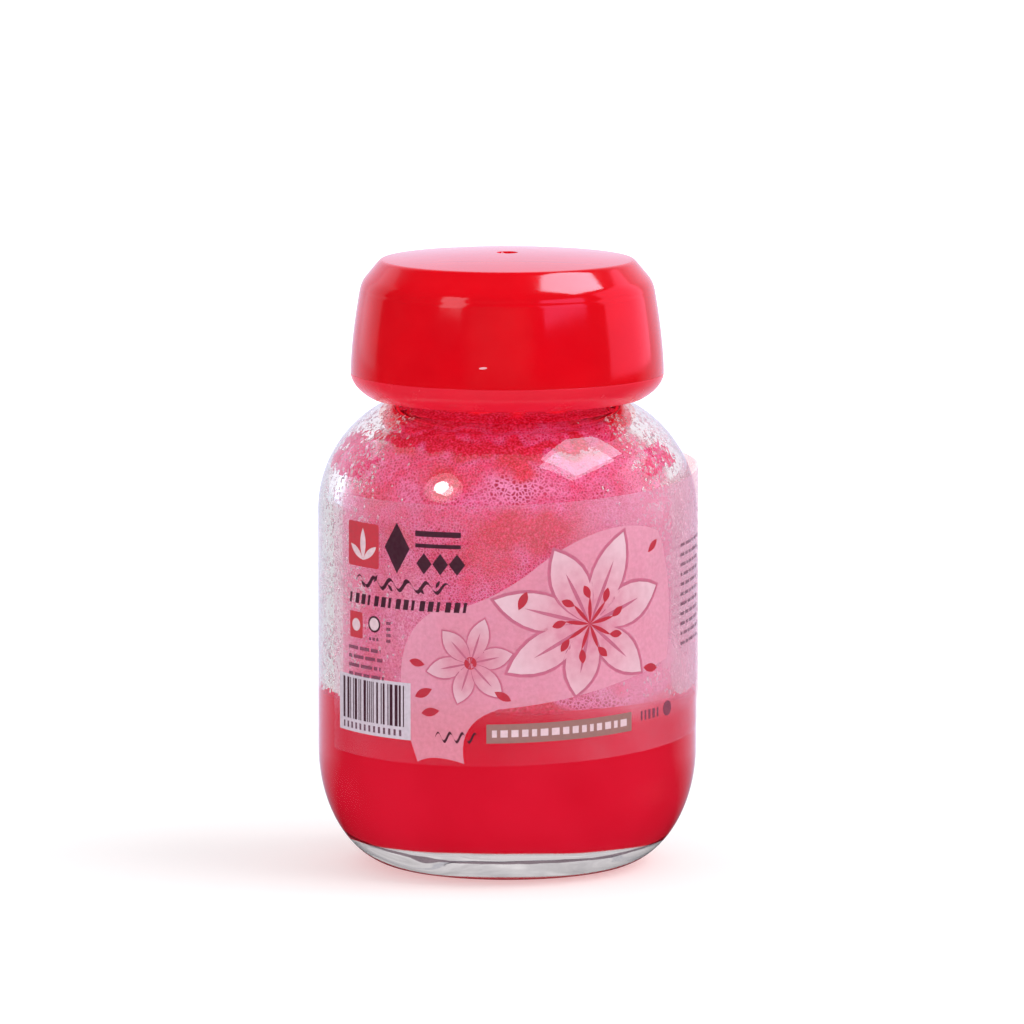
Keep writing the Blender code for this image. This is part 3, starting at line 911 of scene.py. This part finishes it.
def build_droplets(material):
    """Flattened drops that cling to the glass. Their flat side lies a hair inside it."""
    chance = random.Random(DROPLET_SEED)
    smallest, largest = DROPLET_SIZES
    sides = range(DROPLET_SIDES)
    pairs = [(side, (side + 1) % DROPLET_SIDES) for side in sides]
    verts, faces = [], []
    while len(faces) < DROPLET_COUNT * (2 * DROPLET_SIDES + 1):
        turn = chance.uniform(0, FULL_TURN)
        height = chance.uniform(*DROPLET_HEIGHTS)
        if chance.random() > droplet_share(turn, height):
            continue
        radius, lean = inner_wall_at(height)
        base = smallest + (largest - smallest) * chance.random() ** 1.8
        stretch = chance.uniform(0.8, 1.9)
        depth = base * chance.uniform(0.45, 0.7) + DROPLET_SINK
        spin = chance.uniform(0, FULL_TURN)
        outward = polar(math.cos(lean), turn, math.sin(lean))
        across = polar(1, turn + QUARTER_TURN)
        up = outward.cross(across) * -1
        middle = polar(radius, turn, height) + outward * DROPLET_SINK
        first = len(verts)
        for share, sunk in ((1.0, 0.0), (0.72, 0.72)):
            for side in sides:
                angle = spin + FULL_TURN * side / DROPLET_SIDES
                shift = across * math.cos(angle) + up * (stretch * math.sin(angle))
                verts.append(middle + shift * (base * share) - outward * (depth * sunk))
        inner = first + DROPLET_SIDES
        tip = len(verts)
        verts.append(middle - outward * depth)
        faces.append(tuple(first + side for side in sides))
        faces += [(first + one, inner + one, inner + other, first + other) for one, other in pairs]
        faces += [(inner + one, tip, inner + other) for one, other in pairs]
    drops = linked("fine_droplets", closed_mesh("fine_droplets", verts, faces), material)
    drops.visible_shadow = False
    drops.visible_diffuse = False
    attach(drops, "jar")


# Cap

def skirt_radius_at(height):
    share = (SKIRT_TOP - height) / (SKIRT_TOP - CREASE)
    return SKIRT_TOP_RADIUS + SKIRT_FLARE * (1 - max(1 - share, 0) ** SKIRT_BOW)


def build_shell(material):
    floor = CROWN_EDGE + CROWN_HEIGHT - GATE_DEPTH
    gate_floor = [(radius, floor) for radius in (0, GATE_RADIUS * 0.5, GATE_RADIUS - GATE_ROUND)]
    gate_floor.append((GATE_RADIUS, floor + GATE_ROUND))
    crown = []
    for step in range(CROWN_STEPS + 1):
        radius = GATE_RADIUS + 0.12 * MM + (CROWN_RADIUS - 0.7 * MM - GATE_RADIUS) * step / CROWN_STEPS
        crown.append((radius, CROWN_EDGE + CROWN_HEIGHT * (1 - (radius / CROWN_RADIUS) ** 2)))
    edge = (CROWN_RADIUS, CROWN_EDGE)
    corner = (SKIRT_TOP_RADIUS, SKIRT_TOP)
    skirt = []
    for step in range(SKIRT_STEPS + 1):
        height = SKIRT_TOP + (CREASE - SKIRT_TOP) * step / SKIRT_STEPS
        skirt.append((skirt_radius_at(height), height))
    chamfer = rounded(crown[-1], edge, corner, CROWN_ROUND) + rounded(edge, corner, skirt[6], SKIRT_ROUND)
    outer = gate_floor + crown + chamfer + [point for point in skirt if point[1] < chamfer[-1][1]]
    lip = outer[-1]
    outer = outer[:-1] + rounded(outer[-2], lip, (lip[0] - SHELL_WALL, lip[1]), RIM_ROUND, 3)
    inner = [(radius - SHELL_WALL, height) for radius, height in skirt[::-3]]
    ceiling = CROWN_EDGE - SHELL_WALL
    inner[-1] = (SKIRT_TOP_RADIUS - SHELL_WALL, SKIRT_TOP - 0.72 * MM)
    inner += [(CROWN_RADIUS - 0.72 * MM, ceiling), (0, ceiling)]
    shell = linked("red_shell", turned_mesh("shell_fine", outer + inner, HARD_COLUMNS), material)
    shell.data.set_sharp_from_angle(angle=SHARP_EDGE)
    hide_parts("cap_shell")
    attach(shell, "cap")
    return shell


def build_fleck(material):
    """A tiny pale fleck on the skirt, low down and a little left of the front."""
    turn = math.radians(FLECK_TURN_DEG)
    outward, across = polar(1, turn), polar(1, turn + QUARTER_TURN)
    middle = polar(skirt_radius_at(FLECK_HEIGHT), turn, FLECK_HEIGHT)
    half_width, half_depth, half_height = FLECK_HALVES
    bm = bmesh.new()
    bmesh.ops.create_uvsphere(bm, u_segments=20, v_segments=10, radius=1)
    for vert in bm.verts:
        x, y, z = vert.co
        lift = Vector((0, 0, (z + 0.3 * x) * half_height))
        vert.co = middle + across * (x * half_width) + outward * (y * half_depth) + lift
    mesh = bpy.data.meshes.new("fleck")
    bm.to_mesh(mesh)
    bm.free()
    fleck = linked("fleck_on_shell", mesh, material)
    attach(fleck, "cap")


def build_insert(material):
    """The inner cap: its rounded rim shows below the shell, and its thread runs inside the sleeve."""
    flange_top = CREASE - 0.02 * MM
    ring_top = CREASE - SEAT_GAP + RING_HEIGHT
    depth = SHELL_WALL + SEAT_GAP
    sleeve_outer = SLEEVE_INNER + SLEEVE_WALL
    rim_radius = skirt_radius_at(CREASE)
    handle = (rim_radius - 0.16 * MM, CAP_FOOT + 1.30 * MM)
    sleeve_top = PLATE_TOP - 1.3 * MM
    plate_radius = CROWN_RADIUS - 0.9 * MM
    ring_radius = skirt_radius_at(ring_top) - depth
    outline = [(0, PLATE_TOP), (plate_radius, PLATE_TOP), (sleeve_outer, sleeve_top)]
    outline += [(sleeve_outer, ring_top), (ring_radius, ring_top), (ring_radius, flange_top)]
    rim = bow((rim_radius, flange_top), handle, (RIM_FOOT_RADIUS, CAP_FOOT), 20)
    outline += rounded(outline[-1], rim[0], rim[4], RIM_ROUND, 3) + rim[2:]
    foot = [(SLEEVE_INNER + 0.4 * MM, CAP_FOOT), (SLEEVE_INNER, CAP_FOOT + 0.4 * MM)]
    outline += foot
    wall = spaced([foot[-1], (SLEEVE_INNER, PLATE_BOTTOM)], THREAD_GAP)
    outline += wall[1:] + [(0, PLATE_BOTTOM)]
    low = THREAD_LOW + THREAD_PITCH / 2
    highest = PLATE_BOTTOM - 0.6 * MM

    def shape(radius, height, turn):
        if abs(radius - SLEEVE_INNER) < HAIR and CAP_FOOT + 1 * MM < height < highest:
            return radius - THREAD_DEPTH * CAP_THREAD_SHARE * thread_rise(height, turn, low), height
        return radius, height

    insert = linked("threaded_insert", turned_mesh("insert_fine", outline, HARD_COLUMNS, shape), material)
    insert.data.set_sharp_from_angle(angle=SHARP_EDGE)
    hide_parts("cap_insert")
    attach(insert, "cap")
    return insert


# Label

def on_label(along, up, lift):
    """The place on the label this far round from the front, above its lower edge and off its surface."""
    turn = along / LABEL_RADIUS
    sunk = LABEL_TILT * (1 - math.cos(turn - math.radians(LABEL_LOW_DEG)))
    return polar(LABEL_RADIUS + lift, turn, LABEL_FOOT + sunk + up)


def build_film(material):
    """A closed strip: each column is a ring up its near side and down its far side."""
    columns, rows = 176, 12
    start, end = (math.radians(turn_deg) * LABEL_RADIUS for turn_deg in (LABEL_START_DEG, LABEL_END_DEG))
    verts = []
    for column in range(columns + 1):
        along = start + (end - start) * column / columns
        near = [on_label(along, LABEL_HEIGHT * row / rows, 0) for row in range(rows + 1)]
        far = [on_label(along, LABEL_HEIGHT * row / rows, FILM_THICKNESS) for row in range(rows + 1)]
        verts += near + far[::-1]
    ring = 2 * (rows + 1)
    faces = []
    for first in range(0, columns * ring, ring):
        for step in range(ring):
            following = (step + 1) % ring
            faces.append((first + step, first + following, first + ring + following, first + ring + step))
    for first in (0, columns * ring):
        last = first + ring - 1
        faces += [(first + row, first + row + 1, last - row - 1, last - row) for row in range(rows)]
    film = linked("label_film", closed_mesh("film", verts, faces), material)
    film.data.set_sharp_from_angle(angle=SHARP_EDGE)
    film.visible_shadow = False
    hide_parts("label")
    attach(film, "jar")


def box(left, low, right, high):
    return [(left, low), (right, low), (right, high), (left, high)]


def round_box(left, low, right, high, radius):
    points = []
    for x, y, start in ((right, low, -90), (right, high, 0), (left, high, 90), (left, low, 180)):
        inner = (x + (radius if x == left else -radius), y + (radius if y == low else -radius))
        points += arc(inner, radius, start, start + 90, 5)
    return points


def disc(x, y, radius, steps=24):
    return arc((x, y), radius, 0, 360, steps)[:-1]


def petal(x, y, length, width, turn_deg):
    """A pointed oval that starts at this place and runs off at this angle."""
    near, far = (0, 0), (length, 0)
    side = bow(near, (length * 0.55, width), far, 8)
    other = bow(far, (length * 0.55, -width), near, 8)
    cos, sin = math.cos(math.radians(turn_deg)), math.sin(math.radians(turn_deg))
    return [(x + px * cos - py * sin, y + px * sin + py * cos) for px, py in side[:-1] + other[:-1]]


def stamp(name, shapes, material, layer):
    """Flat shapes in millimetres on the label, wrapped round it as one thin closed film of ink."""
    bm = bmesh.new()
    for shape in shapes:
        bm.faces.new([bm.verts.new((x * MM, y * MM, 0)) for x, y in shape])
    bmesh.ops.recalc_face_normals(bm, faces=bm.faces)
    xs = [vert.co.x for vert in bm.verts]
    place = math.floor(min(xs) / INK_STRIP) * INK_STRIP
    while place < max(xs):
        geom = bm.verts[:] + bm.edges[:] + bm.faces[:]
        bmesh.ops.bisect_plane(bm, geom=geom, plane_co=(place, 0, 0), plane_no=(1, 0, 0), dist=1e-7)
        place += INK_STRIP
    bmesh.ops.triangulate(bm, faces=bm.faces[:])
    lifted = bmesh.ops.extrude_face_region(bm, geom=bm.faces[:], use_keep_orig=True)["geom"]
    for item in lifted:
        if isinstance(item, bmesh.types.BMVert):
            item.co.z += INK_THICKNESS
    base = FILM_THICKNESS + INK_STEP * layer
    for vert in bm.verts:
        vert.co = on_label(vert.co.x, vert.co.y, base + vert.co.z)
    bmesh.ops.recalc_face_normals(bm, faces=bm.faces)
    mesh = bpy.data.meshes.new("print_" + name)
    bm.to_mesh(mesh)
    bm.free()
    ink = linked("print_" + name, mesh, material, smooth=False)
    ink.visible_shadow = False
    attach(ink, "jar")


def diamond(x, y, half_width, half_height):
    return [(x - half_width, y), (x, y - half_height), (x + half_width, y), (x, y + half_height)]


def vine(left, right, height, swing, waves, thickness, steps=48):
    """A thin wavy stroke, thicker on its downward runs."""
    low, high = [], []
    for step in range(steps + 1):
        share = step / steps
        angle = FULL_TURN * waves * share
        y = height + swing * math.sin(angle)
        half = thickness * (0.35 + 0.3 * math.cos(angle)) * min(1, 6 * min(share, 1 - share) + 0.2)
        low.append((left + (right - left) * share, y - half))
        high.append((left + (right - left) * share, y + half))
    return low + high[::-1]


def dashes(left, right, low, high, seed, gap=0.35, lengths=(0.5, 2.2)):
    """A row of short dashes of unlike lengths."""
    chance = random.Random(seed)
    shapes = []
    x = left
    while x < right:
        end = min(x + chance.uniform(*lengths), right)
        shapes.append(box(x, low, end, high))
        x = end + gap
    return shapes


def flower(name, x, y, petals, line, blade, layer):
    """Petals round one heart, each a rim with a paler blade inside it and a vein along it."""
    for count, (length, width, turn_deg) in enumerate(petals):
        step = layer + 0.5 * (count % 3)
        for part, long, wide, rise in PETAL_PARTS:
            shape = petal(x, y, length * long, width * wide, turn_deg)
            stamp(f"{name}_{part}_{count}", [shape], blade if part == "blade" else line, step + rise)


def build_picture():
    """An open flower with a smaller one beside it and red buds, on a pale ground with a tail at the left."""
    pale = ink_material("pale", (246, 176, 200), 0.46)
    red = ink_material("red_deep", (206, 36, 62), 0.9)
    rose = ink_material("rose", (214, 112, 146), 0.75)
    ground = []
    start = (-11.6, 0.3)
    for handle, end, steps in (
        ((-9.5, 1.6), (-5.4, 0.3), 8),
        ((-6.5, 5.6), (-1.0, 7.2), 10),
        ((10, 8.0), (23.4, 11.0), 12),
        ((25.2, 20.0), (21.6, 27.5), 10),
        ((12, 31.6), (2.5, 24.0), 12),
        ((-4.0, 19.6), (-9.5, 19.4), 12),
        ((-17.4, 14.5), start, 14),
    ):
        ground += bow(start, handle, end, steps)[:-1]
        start = end
    stamp("ground", [ground], pale, 0)

    x, y = 10.6, 17.2
    blade = petal_material("petal_blade", x, y, srgb(232, 132, 162), srgb(246, 206, 220), 12, 0.86)
    petals = ((11.6, 5.6, 18), (12.6, 5.2, 66), (11.2, 5.4, 116), (13.4, 5.2, 163), (12.4, 5.4, 207))
    petals += ((9.4, 5.2, 258), (11.0, 5.0, 318))
    flower("large", x, y, petals, rose, blade, 1)
    heart, tips = [], []
    for turn_deg in range(10, 360, 40):
        angle = math.radians(turn_deg)
        heart.append(petal(x, y, 3.4, 0.5, turn_deg))
        tips.append(petal(x + 3.2 * math.cos(angle), y + 3.2 * math.sin(angle), 1.9, 0.95, turn_deg + 25))
    stamp("heart", heart, red, 3.5)
    stamp("tips", tips, red, 4)

    x, y = -4.6, 13.0
    blade = petal_material("small_blade", x, y, srgb(228, 120, 152), srgb(244, 196, 212), 6, 0.82)
    petals = [(5.6 + 0.5 * (count % 2), 3.0, 12 + 60 * count) for count in range(6)]
    flower("small", x, y, petals, rose, blade, 2.6)
    buds = [disc(x, y, 0.8, 14)]
    for bud in (
        (-9.6, 9.6, 2.6, 1.1, 205),
        (-8.6, 6.9, 2.5, 1.1, 190),
        (-1.6, 9.4, 2.4, 1.0, 330),
        (1.4, 19.6, 2.5, 1.1, 65),
        (-10.6, 12.6, 2.2, 1.0, 170),
        (18.8, 10.6, 2.6, 1.1, 350),
        (19.6, 25.0, 2.2, 0.9, 40),
    ):
        buds.append(petal(*bud))
    stamp("buds", buds, red, 4.4)


def build_print():
    """A generic label without wording: a flower picture, a tile, marks, a vine, stripes and a banner."""
    red = ink_material("red", (218, 52, 70), 0.93)
    dark = ink_material("dark", (70, 16, 42), 0.95)
    faint = ink_material("faint", (120, 62, 90), 0.55)
    white = ink_material("white", (226, 212, 226), 0.92)
    light = ink_material("light", (246, 214, 224), 0.9)
    taupe = ink_material("taupe", (170, 122, 118), 0.93)
    build_picture()

    stamp("tile", [round_box(-23.2, 24.0, -17.5, 29.6, 0.3)], red, 1)
    sprout = [petal(-20.3, 24.9, *leaf) for leaf in ((4.0, 1.0, 90), (3.0, 0.9, 38), (3.0, 0.9, 142))]
    stamp("sprout", sprout, light, 2)
    marks = [diamond(-14.6, 27.0, 1.9, 3.2), box(-11.9, 28.7, -5.8, 29.4), box(-11.9, 27.3, -5.8, 27.8)]
    marks += [diamond(-10.7 + 2.2 * count, 25.3, 1.05, 1.35) for count in range(3)]
    stamp("marks", marks, dark, 1)
    stamp("vine", [vine(-21.6, -7.0, 22.3, 0.62, 5.5, 0.62)], dark, 1)
    leaves = [petal(-20.6 + 2.3 * count, 22.3, 1.1, 0.4, 60 if count % 2 else -50) for count in range(6)]
    stamp("leaves", leaves, dark, 2)
    bars = []
    for count in range(16):
        left = -23.0 + 1.16 * count
        width = 0.72 if count % 3 else 0.4
        bars.append([(left, 19.3), (left + width, 19.3), (left + width + 0.22, 20.6), (left + 0.22, 20.6)])
    stamp("bars", bars, dark, 1)

    stamp("square", [round_box(-22.9, 14.9, -20.4, 18.2, 0.15)], red, 1)
    stamp("square_disc", [disc(-21.65, 16.55, 0.8, 16)], light, 2)
    stamp("ring", [disc(-18.3, 17.0, 1.05, 20)], dark, 1)
    stamp("ring_middle", [disc(-18.3, 17.0, 0.8, 20)], light, 2)
    small = dashes(-19.2, -17.4, 14.9, 15.3, 3, 0.2, (0.3, 0.6))
    small += [box(-16.3, 14.9 + 0.75 * count, -15.6, 15.3 + 0.75 * count) for count in range(4)]
    for row in range(4):
        small += dashes(-23.2, -17.2 + 0.5 * (row % 2), 13.4 - 1.12 * row, 13.85 - 1.12 * row, row, 0.3)
    stamp("small_lines", small, faint, 1)

    stamp("panel", [box(-25.4, 2.9, -12.6, 10.1)], white, 1)
    chance = random.Random(11)
    stripes, ticks = [], []
    x = -24.5
    while x < -13.6:
        width = chance.choice((0.16, 0.16, 0.3, 0.46))
        stripes.append(box(x, 4.5, x + width, 9.7))
        x += width + chance.choice((0.18, 0.18, 0.32, 0.46))
    for count in range(13):
        ticks.append(box(-24.4 + 0.84 * count, 3.3, -24.05 + 0.84 * count, 4.1))
    stamp("stripes", stripes, dark, 2)
    stamp("ticks", ticks, faint, 2)

    stamp("banner", [box(-2.6, 2.9, 16.8, 5.3)], taupe, 5)
    stamp("banner_dashes", dashes(-1.9, 16.2, 3.65, 4.55, 21, 0.45, (0.5, 1.1)), light, 6)
    stamp("stroke", [vine(-9.2, -3.6, 3.6, 0.55, 3.5, 0.5)], dark, 1)
    stamp("ring_right", [disc(23.6, 4.6, 0.95, 20)], faint, 1)
    right = dashes(18.4, 22.0, 3.9, 5.1, 31, 0.35, (0.3, 0.6))
    for row in range(11):
        right += dashes(27.0, 34.0, 24.4 - 1.25 * row, 24.8 - 1.25 * row, 40 + row, 0.35)
        right += dashes(40.0, 58.0 - 2.5 * (row % 3), 26.4 - 1.6 * row, 26.9 - 1.6 * row, 60 + row, 0.4)
    stamp("far_lines", right, faint, 1)


# Stage, camera and light

def build_stage(material):
    mesh = bpy.data.meshes.new("floor")
    corners = box(-FLOOR_REACH, -FLOOR_REACH, FLOOR_REACH, FLOOR_REACH)
    mesh.from_pydata([(x, y, 0) for x, y in corners], [], [(0, 1, 2, 3)])
    floor = linked("floor", mesh, material, smooth=False)


def build_camera():
    camera = placed("camera", bpy.data.cameras.new("camera"))
    camera.data.lens = CAMERA_LENS
    camera.data.sensor_width = CAMERA_SENSOR
    camera.data.clip_start, camera.data.clip_end = CAMERA_REACH
    camera.location = CAMERA_PLACE
    camera.rotation_euler = (CAMERA_TARGET - CAMERA_PLACE).to_track_quat("-Z", "Y").to_euler()
    bpy.context.scene.camera = camera


def build_world():
    """White behind the jar and above it, darker in front, so that gloss and glass have something to show."""
    nodes = Nodes("studio", bpy.data.worlds)
    bpy.context.scene.world = nodes.owner
    split = nodes.split(nodes.add("ShaderNodeTexCoord").outputs["Generated"])
    height = nodes.math("MULTIPLY_ADD", split["Z"], WORLD_LIFT, split["Y"])
    path = nodes.add("ShaderNodeLightPath").outputs
    colour = None
    for ray, (turn, front, back, tint) in WORLD_LOOKS.items():
        source = split["Y"] if ray == "Is Glossy Ray" else height
        depth = nodes.add("ShaderNodeMapRange", source, *turn, front, back, interpolation_type="SMOOTHSTEP")
        shade = nodes.blend(depth.outputs["Result"], (0.0, 0.0, 0.0), tint)
        colour = shade if colour is None else nodes.blend(path[ray], colour, shade)
    nodes.put(colour, nodes.tree.nodes["Background"].inputs["Color"])


def area_lamp(name, way, distance, size, radiance, tint, receivers, soft=False, oval=False):
    """A lamp that faces the jar's shoulder. Its radiance is what a mirror would show.

    A soft lamp gives diffuse light alone, any other gloss alone. The receivers limit what it lights.
    """
    data = bpy.data.lights.new(name, "AREA")
    data.shape = "ELLIPSE" if oval else "RECTANGLE"
    data.size, data.size_y = size
    data.energy = radiance * math.pi * size[0] * size[1] * (math.pi / 4 if oval else 1)
    data.color = tint
    lamp = placed(name, data)
    way = Vector(way).normalized()
    lamp.location = LAMP_TARGET + way * distance
    lamp.rotation_euler = way.to_track_quat("Z", "Y").to_euler()
    lamp.visible_camera = False
    lamp.visible_glossy = not soft
    lamp.visible_diffuse = soft
    lamp.light_linking.receiver_collection = receivers


def around(turn_deg, rise_deg):
    """A direction this far round from the front and above the horizon."""
    rise = math.radians(rise_deg)
    return polar(math.cos(rise), math.radians(turn_deg), math.sin(rise))


def linked_to(name, state, pieces):
    """A collection of pieces for lamps that light them alone, or all but them."""
    collection = bpy.data.collections.new(name)
    for piece in pieces:
        collection.objects.link(piece)
    for entry in collection.collection_objects:
        entry.light_linking.link_state = state
    return collection


def build_lamps(cap_pieces, clear_pieces):
    """Two soft lamps that leave clear glass alone, then what gloss shows on the cap and on the rest."""
    cap = linked_to("cap_only", "INCLUDE", cap_pieces)
    rest = linked_to("all_but_cap", "EXCLUDE", cap_pieces)
    not_clear = linked_to("all_but_clear", "EXCLUDE", clear_pieces)
    area_lamp("key", (0.52, -0.10, 0.85), 0.9, (0.50, 0.42), 4.5, WHITE, not_clear, soft=True)
    area_lamp("front_fill", around(-6, 13), 1.6, (1.4, 0.9), 2.35, WHITE, not_clear, soft=True)
    area_lamp("window_cap", (0.53, -0.04, 0.85), 0.9, (0.50, 0.42), 10, (0.40, 0.80, 1.0), cap)
    area_lamp("window_glass", (0.52, -0.10, 0.78), 0.9, (0.66, 0.40), 4.5, (0.42, 1.0, 1.12), rest)
    area_lamp("box_left_cap", around(-45, 26), 1.0, (0.32, 0.46), 2.4, LILAC, cap)
    area_lamp("box_right_cap", around(46, 21), 1.0, (0.62, 0.34), 2.0, (1.2, 0.34, 0.78), cap)
    area_lamp("spot_left", SPOT_WAY, 0.9, (0.13, 0.17), 24, WHITE, rest, oval=True)
    area_lamp("spot_halo", SPOT_WAY, 0.95, (0.34, 0.44), 2.2, LILAC, rest, oval=True)
    area_lamp("wall_right", around(106, 8), 1.1, (0.70, 1.1), 0.8, (0.85, 0.92, 1.08), rest)
    area_lamp("wall_left", around(-128, 8), 1.1, (0.60, 1.1), 0.65, (0.60, 0.85, 1.15), rest)
    area_lamp("wall_right_cap", around(107, 8), 1.1, (1.05, 1.3), 1.2, (2.2, 0.38, 0.68), cap)
    area_lamp("wall_left_cap", around(-128, 8), 1.1, (0.60, 1.1), 0.35, LILAC, cap)


jar_glass = glass("jar_glass", GLASS_INDEX).owner
wetted_glass = glass("wetted_jar_glass", GLASS_INDEX / REMOVER_INDEX).owner
jar = build_jar(jar_glass, wetted_glass, base_material())
build_remover(remover_material())
build_sponge(foam_material())
build_droplets(droplet_material())
shell = build_shell(red_plastic("shell_plastic", srgb(230, 4, 22), 0.11, 0.08, 0.10))
build_fleck(red_plastic("fleck_plastic", srgb(252, 186, 196), 0.3, 0.05, 0.2))
insert = build_insert(red_plastic("insert_plastic", srgb(244, 30, 54), 0.24, 0.03, 0.34))
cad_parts["cap_liner"].material_slots[0].material = liner_material()
build_film(film_material())
build_print()
build_stage(floor_material())
build_camera()
build_world()
build_lamps((shell, insert), (jar,))
bpy.context.scene.view_settings.view_transform = "Standard"
